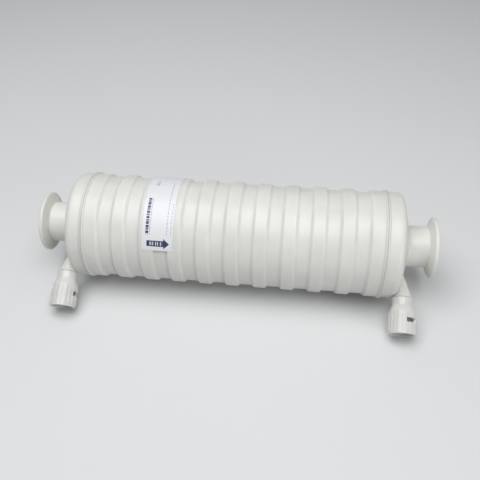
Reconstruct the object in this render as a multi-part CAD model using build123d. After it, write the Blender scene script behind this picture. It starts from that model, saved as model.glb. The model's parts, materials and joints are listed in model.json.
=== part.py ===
"""In-line capsule filter, lying as it comes to rest. Millimetres, +Z up.

X runs along the capsule from the inlet to the outlet, with x = 0 on the inlet flange's face.
Both valve ports lean down towards -Y, so the capsule rests on its two weld beads and on the
rims of its two valve knobs.
"""
from build123d import *
import math
import os

# Ribbed barrel of the housing
rib_count = 9
rib_pitch = 23.0
rib_crown = 9.0
rib_flank = 2.25
rib_height = 1.75
groove_radius = 42.7
barrel_wall = 2.6

# Plain collar at each end of the barrel, and the weld bead that joins it to an end cap
collar_run = 10.5
bead_height = 0.95
bead_width = 2.4
bead_slope = 0.7

# End cap, measured from the weld outwards
skirt_length = 13.7
cap_wall = 3.2
dome_corner_radius = 6.0
dome_slope = 14.2
neck_diameter = 34.1
neck_bore = 28.6
neck_run = 16.8
neck_root_radius = 2.5
seat_land_width = 7.7
seat_land_height = 0.3

# Sanitary flange for a clamp, nominal 1.5 inch
flange_diameter = 50.5
flange_rim = 2.85
flange_rim_chamfer = 0.5
clamp_angle = 20.0
gasket_groove_diameter = 43.6
gasket_groove_width = 3.2
gasket_groove_floor = 1.6
gasket_groove_depth = 1.5

# Port boss on each end cap, and the spigot that its valve screws on
port_past_skirt = 5.2
boss_proud = 0.45
boss_radius = 7.65
fairing_gap = 6.15
port_spigot_radius = 6.0
port_spigot_length = 10.6
valve_bore = 4.1
valve_bore_depth = 17.5
chamber_radius = 2.4
chamber_depth = 3.6
vent_hole_radius = 1.6
vent_hole_overrun = 1.0

# Valve stem, with its key, its seal grooves and a female luer nozzle
valve_travel = 1.5
stem_clearance = 0.4
tip_clearance = 0.5
tip_reach = 0.4
stem_bore = 1.4
side_hole_radius = 1.1
key_width = 1.8
key_hold = 1.0
key_slot_spare = 1.1
stem_flange_inset = 0.8
stem_flange_height = 1.0
stem_neck_radius = 3.6
snap_height = 0.7
snap_length = 0.8
nozzle_radius = 3.35
nozzle_inset = 1.5
luer_mouth_radius = 2.15
luer_depth = 7.8
luer_taper = 0.03
lug_radius = 3.92
lug_width = 3.6
lug_height = 1.8

# Seal rings of a valve
ring_section = 0.8
ring_sides = 8
ring_gap = 0.1
ring_to_slot = 0.6

# Valve knob
collar_wall = 2.05
collar_length = 6.2
thread_clearance = 0.3
shoulder_length = 5.5
shoulder_blend = 4.0
skirt_radius = 10.4
skirt_wall = 1.5
skirt_draft = 0.45
rim_round = 0.5
recess_depth = 14.95
web_thickness = 2.2
web_clearance = 0.15
window_angle = 58.0
window_height = 3.6
window_to_rim = 9.5
grip_rib_count = 20
grip_rib_width = 1.1
grip_rib_height = 0.35
grip_rib_to_rim = 1.6
inlet_knob_turned = 0.0
outlet_knob_turned = -50.0

# Filter cartridge
cartridge_gap = 4.4
plate_lip = 1.6
plate_inner_lip = 0.9
end_plate_thickness = 6.0
potting_depth = 3.0
fit_gap = 0.1
plate_spigot_length = 6.5
core_wall = 2.0
cage_wall = 2.0
pack_gap = 0.25
pleat_count = 40
fleece_thickness = 0.25
membrane_thickness = 0.2
window_rows = 6
windows_around = 6
window_land = 5.0
window_share = 0.62
fin_count = 4
fin_width = 2.0
fin_turn = 45.0
fin_gap = 0.3

# Label wrapped over two ribs
label_width = 25.4
label_thickness = 0.15
label_gap = 0.05
label_pitches_from_middle = 2.5
label_shift = 1.5
label_start = 20.0
label_sweep = 131.0

# Radii that follow from the sizes above
crown_radius = groove_radius + rib_height
bead_radius = crown_radius + bead_height
barrel_bore = groove_radius - barrel_wall
neck_radius = neck_diameter / 2
bore_radius = neck_bore / 2
flange_radius = flange_diameter / 2
seat_land_radius = bore_radius + seat_land_width
fairing_root_radius = cap_wall / 3
stem_radius = valve_bore - stem_clearance
stem_tip_radius = chamber_radius - tip_clearance
stem_flange_radius = port_spigot_radius - stem_flange_inset
collar_radius = port_spigot_radius + thread_clearance + collar_wall
recess_radius = skirt_radius - skirt_wall
rim_radius = skirt_radius + skirt_draft
plate_radius = barrel_bore - cartridge_gap
cage_radius = plate_radius - plate_lip - fit_gap
core_radius = bore_radius + plate_inner_lip + fit_gap + core_wall
half_pack = membrane_thickness / 2 + fleece_thickness
pleat_inner_radius = core_radius + pack_gap + half_pack
pleat_outer_radius = cage_radius - cage_wall - pack_gap - half_pack

# Slope of the dome, and its wall measured along X
dome_rise = math.tan(math.radians(dome_slope))
cap_wall_along = cap_wall / math.cos(math.radians(dome_slope))


def dome_outside(radius):
    """Distance of the dome's outer face from the weld plane, at a radius."""
    return skirt_length + (crown_radius - radius) * dome_rise


def dome_inside(radius):
    """Distance of the dome's inner face from the weld plane, at a radius."""
    return dome_outside(radius) - cap_wall_along


# Places along X, from the middle of the capsule
clamp_back = (flange_radius - neck_radius) * math.tan(math.radians(clamp_angle))
cap_length = dome_outside(neck_radius) + neck_run + clamp_back + flange_rim
collar_start = (rib_count + 1) / 2 * rib_pitch - rib_crown / 2
barrel_half = collar_start + collar_run + bead_width / 2
half_length = barrel_half + cap_length
port_position = barrel_half + skirt_length + port_past_skirt
seat_land = dome_inside(seat_land_radius) - seat_land_height
plate_outer = seat_land - plate_spigot_length
media_half = barrel_half + plate_outer - end_plate_thickness + potting_depth

# Heights along a port, from the capsule's axis
boss_end = crown_radius + boss_proud
fairing_root = neck_radius + fairing_gap
spigot_end = boss_end + port_spigot_length
valve_seat = spigot_end - valve_bore_depth
key_engagement = valve_travel + key_hold
key_slot_depth = key_engagement + key_slot_spare
stem_ring_height = spigot_end - key_slot_depth - ring_to_slot - ring_section - valve_travel
stem_flange_end = spigot_end + key_engagement
web_start = stem_flange_end + web_clearance
web_end = web_start + web_thickness
knob_end = web_end + recess_depth


def rest_angle():
    """Angle of the ports from straight down, at which beads and knob rims share one floor."""
    along = knob_end - rim_round
    across = rim_radius - rim_round
    reach = math.hypot(along, across)
    return math.degrees(math.atan2(across, along) + math.acos((bead_radius - rim_round) / reach))


port_angle = rest_angle()


def outline(points, rounds=()):
    """Closed flat face through points, with some of its corners rounded."""
    face = make_face(Polyline(*points, close=True))
    for point, radius in rounds:
        corner = face.vertices().sort_by_distance(point)[0]
        face = fillet(corner, radius)
    return face


def turned_on_x(points, rounds=()):
    """Solid of revolution about X from (x, radius) points."""
    flat = [(x, radius, 0) for x, radius in points]
    flat_rounds = [((x, radius, 0), size) for (x, radius), size in rounds]
    return revolve(outline(flat, flat_rounds), Axis.X)


def turned_on_port(points, rounds=()):
    """Solid of revolution about the port axis, from (height, radius) points, hanging along -Z."""
    flat = [(radius, 0, -height) for height, radius in points]
    flat_rounds = [((radius, 0, -height), size) for (height, radius), size in rounds]
    return revolve(outline(flat, flat_rounds), Axis.Z)


def tube_on_x(start, end, inner, outer):
    """Plain tube along X."""
    return turned_on_x([(start, inner), (end, inner), (end, outer), (start, outer)])


def tube_on_port(start, end, inner, outer):
    """Plain tube along the port axis."""
    return turned_on_port([(start, inner), (end, inner), (end, outer), (start, outer)])


def rod_on_port(start, end, radius):
    """Solid rod along the port axis."""
    return tube_on_port(start, end, 0, radius)


def housing_tube():
    """Barrel with ring ribs, plain end collars and half of each weld bead."""
    crown = rib_crown / 2
    foot = crown + rib_flank
    ribs = []
    for step in range(rib_count):
        centre = (step - (rib_count - 1) / 2) * rib_pitch
        ribs.append((centre - foot, groove_radius))
        ribs.append((centre - crown, crown_radius))
        ribs.append((centre + crown, crown_radius))
        ribs.append((centre + foot, groove_radius))
    bead_start = barrel_half - bead_width / 2
    end = [
        (collar_start - rib_flank, groove_radius),
        (collar_start, crown_radius),
        (bead_start - bead_slope, crown_radius),
        (bead_start, bead_radius),
        (barrel_half, bead_radius),
        (barrel_half, barrel_bore),
    ]
    start = [(-x, radius) for x, radius in reversed(end)]
    return turned_on_x(start + ribs + end)


def cap_body():
    """Skirt, dome, neck and flange of the outlet end cap as one turned form."""
    neck_start = dome_outside(neck_radius)
    rim_start = cap_length - flange_rim
    back_start = rim_start - clamp_back
    corner = (skirt_length, crown_radius)
    neck_root = (neck_start, neck_radius)
    groove_centre = gasket_groove_diameter / 2
    groove_floor = cap_length - gasket_groove_depth
    points = [
        (0, bead_radius),
        (bead_width / 2, bead_radius),
        (bead_width / 2 + bead_slope, crown_radius),
        corner,
        neck_root,
        (back_start, neck_radius),
        (rim_start, flange_radius - flange_rim_chamfer),
        (rim_start + flange_rim_chamfer, flange_radius),
        (cap_length - flange_rim_chamfer, flange_radius),
        (cap_length, flange_radius - flange_rim_chamfer),
        (cap_length, groove_centre + gasket_groove_width / 2),
        (groove_floor, groove_centre + gasket_groove_floor / 2),
        (groove_floor, groove_centre - gasket_groove_floor / 2),
        (cap_length, groove_centre - gasket_groove_width / 2),
        (cap_length, bore_radius),
        (seat_land, bore_radius),
        (seat_land, seat_land_radius),
        (dome_inside(seat_land_radius), seat_land_radius),
        (dome_inside(barrel_bore), barrel_bore),
        (0, barrel_bore),
    ]
    rounds = [(corner, dome_corner_radius), (neck_root, neck_root_radius)]
    shifted = [(x + barrel_half, radius) for x, radius in points]
    shifted_rounds = [((x + barrel_half, radius), size) for (x, radius), size in rounds]
    return turned_on_x(shifted, shifted_rounds)


def port_boss():
    """Fairing from the dome's face out to the spigot that carries the valve."""
    root_x = barrel_half + (dome_outside(fairing_root) + dome_inside(fairing_root)) / 2
    root = Plane(origin=(root_x, 0, -fairing_root), z_dir=(0, 0, -1)) * Circle(fairing_root_radius)
    face = Plane(origin=(port_position, 0, -boss_end), z_dir=(0, 0, -1)) * Circle(boss_radius)
    spigot = Pos(port_position, 0, 0) * rod_on_port(boss_end, spigot_end, port_spigot_radius)
    return loft([root, face], ruled=True) + spigot


def port_passage():
    """Valve bore, chamber below its seat, hole into the dome, and slots for the stem's key."""
    chamber_end = valve_seat - chamber_depth
    bore = rod_on_port(valve_seat, spigot_end, valve_bore)
    chamber = rod_on_port(chamber_end, valve_seat, chamber_radius)
    slot = Pos(0, 0, -(spigot_end - key_slot_depth / 2)) * Box(
        2 * port_spigot_radius + thread_clearance, key_width + 2 * thread_clearance, key_slot_depth
    )
    hole_height = chamber_end + vent_hole_radius
    hole_length = skirt_length + port_past_skirt - dome_inside(chamber_end) + vent_hole_overrun
    section = Plane(origin=(0, 0, -hole_height), z_dir=(-1, 0, 0)) * Circle(vent_hole_radius)
    return Pos(port_position, 0, 0) * (bore + chamber + slot + extrude(section, hole_length))


def outlet_end_cap():
    """End cap with its port, the port hanging along -Z."""
    return cap_body() + port_boss() - port_passage()


def valve_stem():
    """Hollow stem: tip, seal grooves, key, flange, neck, snap bead and luer nozzle."""
    ring_back = valve_seat + ring_gap + 2 * ring_section
    groove_start = stem_ring_height - ring_section - ring_gap
    groove_end = stem_ring_height + ring_section + ring_gap
    groove_floor = valve_bore - ring_gap - 2 * ring_section
    flange_start = stem_flange_end - stem_flange_height
    key_start = spigot_end - key_engagement
    snap_start = web_end + web_clearance
    nozzle_start = snap_start + snap_length
    nozzle_end = knob_end - nozzle_inset
    stem = turned_on_port([
        (valve_seat - tip_reach, 0),
        (valve_seat - tip_reach, stem_tip_radius),
        (ring_back, stem_tip_radius),
        (ring_back, stem_radius),
        (groove_start, stem_radius),
        (groove_start, groove_floor),
        (groove_end, groove_floor),
        (groove_end, stem_radius),
        (flange_start, stem_radius),
        (flange_start, stem_flange_radius),
        (stem_flange_end, stem_flange_radius),
        (stem_flange_end, stem_neck_radius),
        (snap_start, stem_neck_radius),
        (snap_start, stem_neck_radius + snap_height),
        (nozzle_start, nozzle_radius),
        (nozzle_end, nozzle_radius),
        (nozzle_end, 0),
    ])
    key = Pos(0, 0, -(key_start + flange_start) / 2) * Box(
        2 * stem_flange_radius, key_width, flange_start - key_start
    )
    lug_block = Pos(0, 0, -(nozzle_end - lug_height / 2)) * Box(lug_width, 2 * lug_radius, lug_height)
    lugs = lug_block & rod_on_port(nozzle_end - lug_height, nozzle_end, lug_radius)
    luer_start = nozzle_end - luer_depth
    luer = turned_on_port([
        (luer_start, 0),
        (luer_start, luer_mouth_radius - luer_depth * luer_taper),
        (nozzle_end, luer_mouth_radius),
        (nozzle_end, 0),
    ])
    side_hole_height = ring_back + 2 * side_hole_radius
    bore = rod_on_port(side_hole_height, luer_start, stem_bore)
    side_hole = Pos(0, 0, -side_hole_height) * Rot(0, 90, 0) * Cylinder(side_hole_radius, 2 * valve_bore)
    return stem + key + lugs - luer - bore - side_hole


def seal_ring(height, radius):
    """Rubber ring with a many-sided section, about the port axis."""
    across = Plane(origin=(radius, 0, -height), z_dir=(0, 1, 0)) * Rot(0, 0, 180 / ring_sides)
    return revolve(across * RegularPolygon(ring_section, ring_sides, major_radius=False), Axis.Z)


def seat_ring():
    """Ring that closes the valve on its seat."""
    return seal_ring(valve_seat + ring_gap + ring_section, stem_tip_radius + ring_section)


def stem_ring():
    """Ring that seals the stem in its bore."""
    return seal_ring(stem_ring_height, valve_bore - ring_gap - ring_section)


def knob_windows():
    """Two opposite openings through the knob's skirt."""
    window_end = knob_end - window_to_rim
    far = 2 * rim_radius
    spread = far * math.tan(math.radians(window_angle / 2))
    wedge = make_face(Polyline((0, 0), (far, spread), (far, -spread), close=True))
    sector = Pos(0, 0, -window_end) * extrude(wedge, window_height)
    ring = tube_on_port(window_end - window_height, window_end, recess_radius - rim_round, far)
    return (sector + Rot(0, 0, 180) * sector) & ring


def grip_rib(start, end):
    """One low rib along the knob's skirt, following its draft."""
    root = recess_radius + skirt_wall / 2
    top = skirt_radius + grip_rib_height
    profile = outline([
        (root, 0, -start),
        (top, 0, -start - grip_rib_width),
        (top + skirt_draft, 0, -end),
        (root, 0, -end),
    ])
    return extrude(profile, grip_rib_width / 2, both=True)


def valve_knob(turned):
    """Knob: threaded collar, web that lifts the stem, and a ribbed open skirt."""
    collar_start_height = boss_end + thread_clearance
    collar_end = collar_start_height + collar_length
    shoulder_end = collar_end + shoulder_length
    inner = port_spigot_radius + thread_clearance
    web_hole = stem_neck_radius + web_clearance
    collar_corner = (collar_start_height, collar_radius)
    shoulder_corner = (shoulder_end, skirt_radius)
    collar_root = (collar_end, collar_radius)
    rim_corner = (knob_end, rim_radius)
    points = [
        (collar_start_height, inner),
        collar_corner,
        collar_root,
        shoulder_corner,
        rim_corner,
        (knob_end, recess_radius),
        (web_end, recess_radius),
        (web_end, web_hole),
        (web_start, web_hole),
        (web_start, inner),
    ]
    rounds = [
        (collar_corner, rim_round),
        (collar_root, shoulder_blend),
        (shoulder_corner, shoulder_blend),
        (rim_corner, rim_round),
    ]
    knob = turned_on_port(points, rounds)
    rib = grip_rib(shoulder_end, knob_end - grip_rib_to_rim)
    for step in range(grip_rib_count):
        knob += Rot(0, 0, (step + 0.5) * 360 / grip_rib_count) * rib
    return Rot(0, 0, turned) * (knob - knob_windows())


def pleat_outline(offset):
    """Closed zigzag, a set distance outside (+) or inside (-) the middle of the pleated pack."""
    pitch = 2 * math.pi / pleat_count
    lean = math.atan2(
        pleat_outer_radius * math.sin(pitch / 2),
        pleat_outer_radius * math.cos(pitch / 2) - pleat_inner_radius,
    )
    distance = pleat_inner_radius * math.sin(lean) + offset

    def leg_angle(radius):
        return lean - math.pi / 2 + math.acos(distance / radius)

    inner = pleat_inner_radius + offset
    outer = pleat_outer_radius + offset
    if offset > 0:
        valley = distance / math.sin(lean)
        side = leg_angle(outer)
        fold = [(valley, 0), (outer, side), (outer, pitch - side)]
    else:
        peak = distance / math.sin(lean - pitch / 2)
        side = leg_angle(inner)
        fold = [(inner, -side), (inner, side), (peak, pitch / 2)]
    points = []
    for step in range(pleat_count):
        for radius, angle in fold:
            turn = angle + step * pitch
            points.append((radius * math.cos(turn), radius * math.sin(turn)))
    return make_face(Polyline(*points, close=True))


def pleated_sheet(inside, outside):
    """One pleated sheet between two offsets, running the length of the cartridge."""
    length = 2 * media_half
    sheet = extrude(pleat_outline(outside), length) - extrude(pleat_outline(inside), length)
    return Pos(-media_half, 0, 0) * Rot(0, 90, 0) * sheet


def windowed_tube(outer, wall):
    """Tube with rows of square windows, from one end plate to the other."""
    tube = tube_on_x(-media_half, media_half, outer - wall, outer)
    clear = 2 * (media_half - potting_depth) - window_land
    row_pitch = clear / window_rows
    width = 2 * window_share * outer * math.sin(math.pi / windows_around)
    cutter = Box(row_pitch - window_land, width, 2 * outer + wall)
    for row in range(window_rows):
        place = (row - (window_rows - 1) / 2) * row_pitch
        for step in range(windows_around // 2):
            tube -= Pos(place, 0, 0) * Rot(step * 360 / windows_around, 0, 0) * cutter
    return tube


def plate_rim(hole_radius):
    """Disc of a cartridge end plate with the recess that the pack, core and cage sit in."""
    back = barrel_half + plate_outer
    front = back - end_plate_thickness
    recess = tube_on_x(front, media_half, core_radius - core_wall - fit_gap, cage_radius + fit_gap)
    return tube_on_x(front, back, hole_radius, plate_radius) - recess


def cartridge_open_plate():
    """Outlet end plate, with a spigot that is welded to the land inside the outlet dome."""
    back = barrel_half + plate_outer
    return plate_rim(bore_radius) + tube_on_x(back, barrel_half + seat_land, bore_radius, seat_land_radius)


def cartridge_closed_plate():
    """Inlet end plate, closed, with fins that centre it under the inlet dome."""
    plate = plate_rim(0)
    back = barrel_half + plate_outer
    inner = seat_land_radius + fin_gap
    outer = cage_radius
    profile = make_face(Polyline(
        (back, inner),
        (back, outer),
        (barrel_half + dome_inside(outer) - fin_gap, outer),
        (barrel_half + dome_inside(inner) - fin_gap, inner),
        close=True,
    ))
    fin = extrude(profile, fin_width / 2, both=True)
    for step in range(fin_count):
        plate += Rot(fin_turn + step * 360 / fin_count, 0, 0) * fin
    return mirror(plate, Plane.YZ)


def flow_label():
    """Thin sheet bent over two ribs."""
    inner = crown_radius + label_gap
    outer = inner + label_thickness
    middle = -label_pitches_from_middle * rib_pitch - label_shift
    start = middle - label_width / 2
    end = middle + label_width / 2
    sheet = outline([(start, inner, 0), (end, inner, 0), (end, outer, 0), (start, outer, 0)])
    return Rot(180 - label_start, 0, 0) * revolve(sheet, Axis.X, -label_sweep)


def save(name, shape):
    """Move a piece to its place in the frame of the inlet flange and write it."""
    export_step(Pos(half_length, 0, 0) * shape, "parts/" + name + ".step")


os.makedirs("parts", exist_ok=True)

tilt = Rot(-port_angle, 0, 0)
outlet_cap = outlet_end_cap()
save("housing_tube", housing_tube())
save("outlet_end_cap", tilt * outlet_cap)
save("inlet_end_cap", tilt * mirror(outlet_cap, Plane.YZ))
save("flow_label", flow_label())

half_membrane = membrane_thickness / 2
save("upstream_fleece", pleated_sheet(half_membrane, half_pack))
save("membrane", pleated_sheet(-half_membrane, half_membrane))
save("downstream_fleece", pleated_sheet(-half_pack, -half_membrane))
save("cartridge_core", windowed_tube(core_radius, core_wall))
save("cartridge_cage", windowed_tube(cage_radius, cage_wall))
save("cartridge_open_plate", cartridge_open_plate())
save("cartridge_closed_plate", cartridge_closed_plate())

for end, side, turned in (("inlet", -1, inlet_knob_turned), ("outlet", 1, outlet_knob_turned)):
    port = tilt * Pos(side * port_position, 0, 0)
    save(end + "_valve_stem", port * valve_stem())
    save(end + "_valve_seat_ring", port * seat_ring())
    save(end + "_valve_stem_ring", port * stem_ring())
    save(end + "_valve_knob", port * valve_knob(turned))
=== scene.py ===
"""Looks of a ribbed capsule filter: its plastics, its seals, its pleats and its printed label.

Metres. X runs along the capsule from inlet to outlet, +Z is up, and both valve ports lean down
towards -Y. Angles on the body are measured from -Y, through +Z.
"""
import json
import math

import bpy
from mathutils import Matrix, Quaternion, Vector


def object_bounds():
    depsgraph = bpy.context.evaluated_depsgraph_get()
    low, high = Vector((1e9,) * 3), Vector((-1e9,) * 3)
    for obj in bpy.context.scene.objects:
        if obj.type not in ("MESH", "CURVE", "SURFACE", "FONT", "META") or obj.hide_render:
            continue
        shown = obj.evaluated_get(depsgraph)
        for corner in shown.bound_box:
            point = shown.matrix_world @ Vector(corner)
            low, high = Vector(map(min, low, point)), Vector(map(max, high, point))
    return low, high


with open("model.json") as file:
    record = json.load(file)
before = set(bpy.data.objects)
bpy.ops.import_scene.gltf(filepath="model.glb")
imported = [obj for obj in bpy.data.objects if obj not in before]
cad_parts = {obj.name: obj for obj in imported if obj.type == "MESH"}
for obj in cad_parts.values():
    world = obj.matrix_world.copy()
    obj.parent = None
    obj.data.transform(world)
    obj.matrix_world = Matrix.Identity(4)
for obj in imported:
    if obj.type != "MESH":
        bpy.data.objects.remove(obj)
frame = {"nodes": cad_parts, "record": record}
cad_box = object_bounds()
nodes = frame["nodes"]
mounts = {mount["name"]: mount for mount in frame["record"]["mounts"]}

MM = 0.001

# Sizes read from the frame
LENGTH = mounts["outlet_bore"]["pos_m"][0]
MIDDLE = LENGTH / 2
FLOOR = cad_box[0].z

# The photograph's view: the camera looks down on the capsule from the ports' side
CAMERA_DISTANCE = 531.8 * MM
CAMERA_ALONG = 51.6 * MM
CAMERA_ELEVATION = math.radians(43.9)
CAMERA_ROLL = math.radians(-0.97)
AIM_ALONG = 3.5 * MM
AIM_BELOW = 5.1 * MM
FIELD_OF_VIEW = math.radians(42.23)

# Print on the label: millimetres along the capsule from its middle, degrees around it
ARROW_TAIL = -67.6
ARROW_SHAFT_END = -53.8
ARROW_HEAD_START = -53.9
ARROW_TIP = -49.2
ARROW_TURN = 27.7
SHAFT_HALF_WIDTH = 3.1
HEAD_HALF_WIDTH = 5.5
BARS_ALONG = (-65.8, -54.8)
BARS_HALF_WIDTH = 1.9
BARS_RHYTHM = (4.9, 3.1, 0.25)

# Rows of uneven blocks: along, around, rhythm (two rates and a threshold), ink
PRINT_ROWS = (
    ((-68.7, -66.3), (37.0, 76.5), (3.3, 2.1, -0.75), "dark"),
    ((-65.7, -64.9), (37.0, 76.5), (2.7, 1.9, -0.9), "grey"),
    ((-51.8, -51.0), (37.0, 103.0), (2.9, 1.7, -0.3), "grey"),
    ((-48.5, -47.8), (37.0, 71.0), (3.1, 1.9, -0.3), "grey"),
    ((-66.0, -63.2), (95.0, 104.0), (1.9, 1.3, -0.2), "grey"),
)

FLOOR_SIZE = 6.0
BOUNCE_TONE = (0.52, 0.525, 0.53)
WORLD_STRENGTH = 0.215

# Most of a noise's values lie between these two
NOISE_LOW = 0.3
NOISE_HIGH = 0.7


def camera():
    """The photograph's camera, aimed at a point near the middle of the capsule."""
    data = bpy.data.cameras.new("camera")
    data.angle = FIELD_OF_VIEW
    view = bpy.data.objects.new("camera", data)
    bpy.context.scene.collection.objects.link(view)
    toward = Vector((0, -math.cos(CAMERA_ELEVATION), math.sin(CAMERA_ELEVATION)))
    below = Vector((0, -math.sin(CAMERA_ELEVATION), -math.cos(CAMERA_ELEVATION)))
    view.location = Vector((MIDDLE + CAMERA_ALONG, 0, 0)) + CAMERA_DISTANCE * toward
    aim = Vector((MIDDLE + AIM_ALONG, 0, 0)) + AIM_BELOW * below
    level = (aim - view.location).to_track_quat("-Z", "Y")
    view.rotation_euler = (level @ Quaternion((0, 0, 1), CAMERA_ROLL)).to_euler()
    bpy.context.scene.camera = view


# Materials


class Shader:
    """A node material under construction."""

    def __init__(self, name):
        self.material = bpy.data.materials.new(name)
        self.material.use_nodes = True
        self.tree = self.material.node_tree
        self.surface = self.tree.nodes["Principled BSDF"]
        self.place = self.node("ShaderNodeTexCoord").outputs["Object"]

    def node(self, kind, **settings):
        made = self.tree.nodes.new(kind)
        for name, value in settings.items():
            setattr(made, name, value)
        return made

    def link(self, source, target):
        """Joins a socket to a target, or gives the target a constant."""
        if isinstance(source, (int, float)):
            target.default_value = source
        else:
            self.tree.links.new(source, target)

    def link_colour(self, source, target):
        """Joins a socket to a colour target, or gives the target a plain colour."""
        if isinstance(source, (tuple, list)):
            target.default_value = (*source, 1.0)
        else:
            self.tree.links.new(source, target)

    def math(self, operation, first, second=0.0):
        made = self.node("ShaderNodeMath", operation=operation)
        for source, socket in zip((first, second), made.inputs):
            self.link(source, socket)
        return made.outputs[0]

    def between(self, value, low, high):
        """1 where a value lies between two limits, 0 elsewhere."""
        above = self.math("GREATER_THAN", value, low)
        return self.math("MULTIPLY", above, self.math("LESS_THAN", value, high))

    def blocks(self, value, first_rate, second_rate, threshold):
        """Uneven blocks along a line, from two sine waves that drift apart."""
        waves = [self.math("SINE", self.math("MULTIPLY", value, rate))
                 for rate in (first_rate, second_rate)]
        return self.math("GREATER_THAN", self.math("ADD", *waves), threshold)

    def noise(self, size, detail=2.0, roughness=0.5, stretch=(1, 1, 1)):
        """Noise from 0 to 1 with features of that size in metres, stretched along an axis."""
        mapping = self.node("ShaderNodeMapping")
        mapping.inputs["Scale"].default_value = [1 / share for share in stretch]
        self.link(self.place, mapping.inputs["Vector"])
        made = self.node("ShaderNodeTexNoise")
        made.inputs["Scale"].default_value = 1 / size
        made.inputs["Detail"].default_value = detail
        made.inputs["Roughness"].default_value = roughness
        self.link(mapping.outputs[0], made.inputs["Vector"])
        return made.outputs["Fac"]

    def spread(self, value, low, high):
        """A noise spread over another range."""
        made = self.node("ShaderNodeMapRange")
        self.link(value, made.inputs["Value"])
        made.inputs["From Min"].default_value = NOISE_LOW
        made.inputs["From Max"].default_value = NOISE_HIGH
        made.inputs["To Min"].default_value = low
        made.inputs["To Max"].default_value = high
        return made.outputs[0]

    def blend(self, share, first, second):
        """Mixes two colours by a share."""
        made = self.node("ShaderNodeMix", data_type="RGBA")
        self.link(share, made.inputs["Factor"])
        self.link_colour(first, made.inputs["A"])
        self.link_colour(second, made.inputs["B"])
        return made.outputs["Result"]

    def colour(self, source):
        self.link_colour(source, self.surface.inputs["Base Color"])

    def bump(self, height, depth, onto=None):
        """Adds a bump of that depth in metres."""
        made = self.node("ShaderNodeBump")
        made.inputs["Distance"].default_value = depth
        made.inputs["Strength"].default_value = 1.0
        self.link(height, made.inputs["Height"])
        if onto is not None:
            self.link(onto, made.inputs["Normal"])
        return made.outputs[0]

    def finish(self, **sockets):
        """Sets the shader's sockets, named with underscores, and gives the material."""
        for name, source in sockets.items():
            target = self.surface.inputs[name.replace("_", " ")]
            if isinstance(source, (tuple, list)):
                target.default_value = source
            else:
                self.link(source, target)
        return self.material


def milky_plastic(name, light, shade, roughness, scatter, edge=0.35 * MM):
    """Natural polypropylene: milky, satin, with faint clouds, flow marks and rounded edges."""
    paint = Shader(name)
    clouds = paint.spread(paint.noise(22 * MM, detail=3.0), low=0.0, high=1.0)
    paint.colour(paint.blend(clouds, shade, light))
    rounded = paint.node("ShaderNodeBevel", samples=8)
    rounded.inputs["Radius"].default_value = edge
    grain = paint.bump(paint.noise(0.5 * MM), depth=0.012 * MM, onto=rounded.outputs[0])
    flow_marks = paint.noise(9 * MM, detail=1.0, stretch=(1, 2.2, 2.2))
    waves = paint.bump(flow_marks, depth=0.10 * MM, onto=grain)
    scuffs = paint.noise(3 * MM, detail=6.0, roughness=0.7, stretch=(3, 1, 1))
    return paint.finish(
        Roughness=paint.spread(scuffs, low=roughness - 0.05, high=roughness + 0.06),
        Normal=waves,
        Subsurface_Weight=scatter,
        Subsurface_Radius=(1.0, 0.98, 0.94),
        Subsurface_Scale=3.0 * MM,
        IOR=1.49,
    )


def fleece():
    """Spun fibres that support the membrane on both sides."""
    paint = Shader("fleece")
    fibres = paint.noise(0.35 * MM, detail=5.0, roughness=0.75, stretch=(3, 1, 1))
    paint.colour(paint.blend(fibres, (0.78, 0.78, 0.77), (0.92, 0.92, 0.91)))
    return paint.finish(Roughness=0.85, Normal=paint.bump(fibres, depth=0.05 * MM))


def membrane():
    """The filter membrane, matt and finely porous."""
    paint = Shader("membrane")
    pores = paint.noise(0.15 * MM, detail=3.0)
    paint.colour(paint.blend(pores, (0.88, 0.88, 0.87), (0.95, 0.95, 0.94)))
    return paint.finish(Roughness=0.6, Normal=paint.bump(pores, depth=0.008 * MM))


def silicone():
    """Translucent beige rubber of the valves' rings."""
    paint = Shader("silicone")
    cloud = paint.noise(2 * MM)
    paint.colour(paint.blend(cloud, (0.52, 0.48, 0.42), (0.62, 0.58, 0.52)))
    return paint.finish(
        Roughness=0.42,
        Normal=paint.bump(paint.noise(0.2 * MM), depth=0.004 * MM),
        Subsurface_Weight=0.3,
        Subsurface_Scale=1.0 * MM,
    )


def label_place(paint):
    """Millimetres along the capsule from its middle, and degrees around it."""
    place = paint.node("ShaderNodeSeparateXYZ")
    paint.link(paint.place, place.inputs[0])
    from_middle = paint.math("SUBTRACT", place.outputs["X"], MIDDLE)
    front = paint.math("MULTIPLY", place.outputs["Y"], -1.0)
    turn = paint.math("ARCTAN2", place.outputs["Z"], front)
    return paint.math("DIVIDE", from_middle, MM), paint.math("MULTIPLY", turn, math.degrees(1))


def flow_arrow(paint, along, around):
    """The arrow, a shaft and a head that narrows to its tip, and the pale bars in it."""
    off_axis = paint.math("ABSOLUTE", paint.math("SUBTRACT", around, ARROW_TURN))

    def strip(along_low, along_high, half_width):
        return paint.math("MULTIPLY", paint.between(along, along_low, along_high),
                          paint.math("LESS_THAN", off_axis, half_width))

    narrowing = HEAD_HALF_WIDTH / (ARROW_TIP - ARROW_HEAD_START)
    half_width = paint.math("MULTIPLY", paint.math("SUBTRACT", ARROW_TIP, along), narrowing)
    head = paint.math("MULTIPLY", paint.math("LESS_THAN", off_axis, half_width),
                      paint.math("GREATER_THAN", along, ARROW_HEAD_START))
    shaft = strip(ARROW_TAIL, ARROW_SHAFT_END, SHAFT_HALF_WIDTH)
    bars = paint.math("MULTIPLY", strip(*BARS_ALONG, BARS_HALF_WIDTH),
                      paint.blocks(along, *BARS_RHYTHM))
    return paint.math("MAXIMUM", head, shaft), bars


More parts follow.
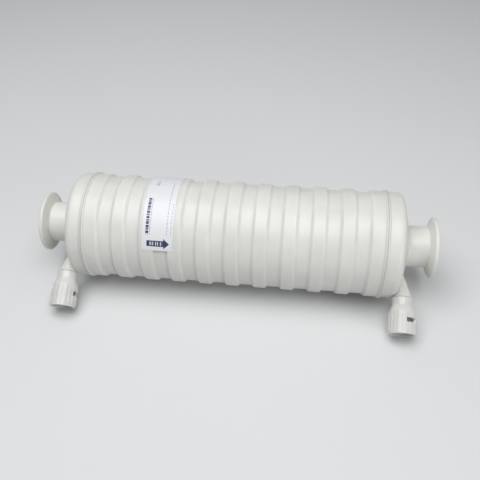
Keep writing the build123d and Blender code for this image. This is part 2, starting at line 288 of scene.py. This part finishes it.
def label_film():
    """White film with its print in simple shapes: a flow arrow and rows of blocks."""
    paint = Shader("label_film")
    film = paint.blend(paint.noise(14 * MM), (0.79, 0.805, 0.85), (0.83, 0.84, 0.87))
    wear = paint.spread(paint.noise(0.6 * MM, detail=4.0), low=0.0, high=1.0)
    inks = {
        "dark": paint.blend(wear, (0.030, 0.038, 0.115), (0.055, 0.065, 0.155)),
        "grey": paint.blend(wear, (0.42, 0.43, 0.50), (0.55, 0.56, 0.62)),
    }
    along, around = label_place(paint)
    printed = film
    for along_limits, around_limits, rhythm, ink in PRINT_ROWS:
        row = paint.math("MULTIPLY", paint.between(along, *along_limits),
                         paint.between(around, *around_limits))
        row = paint.math("MULTIPLY", row, paint.blocks(around, *rhythm))
        printed = paint.blend(row, printed, inks[ink])
    arrow, bars = flow_arrow(paint, along, around)
    printed = paint.blend(arrow, printed, inks["dark"])
    paint.colour(paint.blend(bars, printed, film))
    return paint.finish(Roughness=0.38, Normal=paint.bump(paint.noise(5 * MM), depth=0.03 * MM))


def paint_nodes(material, *names):
    """Gives CAD nodes one material each."""
    for name in names:
        slots = nodes[name].data.materials
        slots.clear()
        slots.append(material)


# Floor and light


def stage():
    """A plain pale floor that sends less light back onto the capsule than the camera sees."""
    bpy.ops.mesh.primitive_plane_add(size=FLOOR_SIZE, location=(MIDDLE, 0, FLOOR))
    floor = bpy.context.object
    floor.name = "floor"
    paint = Shader("floor")
    seen_tone = paint.blend(paint.noise(0.4), (0.74, 0.75, 0.76), (0.77, 0.78, 0.79))
    rays = paint.node("ShaderNodeLightPath").outputs
    mirrored = paint.math("ADD", rays["Is Glossy Ray"], rays["Is Transmission Ray"])
    seen = paint.math("MINIMUM", paint.math("ADD", rays["Is Camera Ray"], mirrored), 1.0)
    paint.colour(paint.blend(seen, BOUNCE_TONE, seen_tone))
    floor.data.materials.append(paint.finish(Roughness=0.9, Specular_IOR_Level=0.2))


def soft_light(name, place, size, power):
    """A rectangular soft light aimed at the middle of the capsule."""
    data = bpy.data.lights.new(name, "AREA")
    data.shape = "RECTANGLE"
    data.size, data.size_y = size
    data.energy = power
    lamp = bpy.data.objects.new(name, data)
    bpy.context.scene.collection.objects.link(lamp)
    lamp.location = place
    aim = Vector((MIDDLE, 0, 0)) - lamp.location
    lamp.rotation_euler = aim.to_track_quat("-Z", "Y").to_euler()


def lights():
    """A dim white world, a large light overhead and a small one low at the outlet's side."""
    world = bpy.data.worlds.new("world")
    bpy.context.scene.world = world
    world.use_nodes = True
    background = world.node_tree.nodes["Background"]
    background.inputs["Color"].default_value = (1.0, 1.0, 1.0, 1.0)
    background.inputs["Strength"].default_value = WORLD_STRENGTH
    soft_light("overhead", (MIDDLE - 0.10, -0.22, 1.05), size=(1.2, 0.85), power=11.2)
    soft_light("side", (MIDDLE + 0.95, -0.75, 0.18), size=(0.45, 0.5), power=3.0)


bpy.context.scene.view_settings.view_transform = "Standard"

housing_plastic = milky_plastic("housing_plastic", light=(0.80, 0.80, 0.765),
                                shade=(0.74, 0.745, 0.71), roughness=0.36, scatter=0.7,
                                edge=1.1 * MM)
knob_plastic = milky_plastic("knob_plastic", light=(0.74, 0.74, 0.72), shade=(0.67, 0.67, 0.65),
                             roughness=0.17, scatter=0.7, edge=0.3 * MM)
inner_plastic = milky_plastic("inner_plastic", light=(0.80, 0.80, 0.77),
                              shade=(0.74, 0.74, 0.71), roughness=0.42, scatter=0.4)
seal = silicone()
paint_nodes(housing_plastic, "housing_tube", "inlet_end_cap", "outlet_end_cap")
paint_nodes(inner_plastic, "cartridge_core", "cartridge_cage", "cartridge_open_plate",
            "cartridge_closed_plate")
paint_nodes(fleece(), "upstream_fleece", "downstream_fleece")
paint_nodes(membrane(), "membrane")
paint_nodes(label_film(), "flow_label")
for end in ("inlet", "outlet"):
    paint_nodes(knob_plastic, end + "_valve_knob", end + "_valve_stem")
    paint_nodes(seal, end + "_valve_seat_ring", end + "_valve_stem_ring")

stage()
lights()
camera()
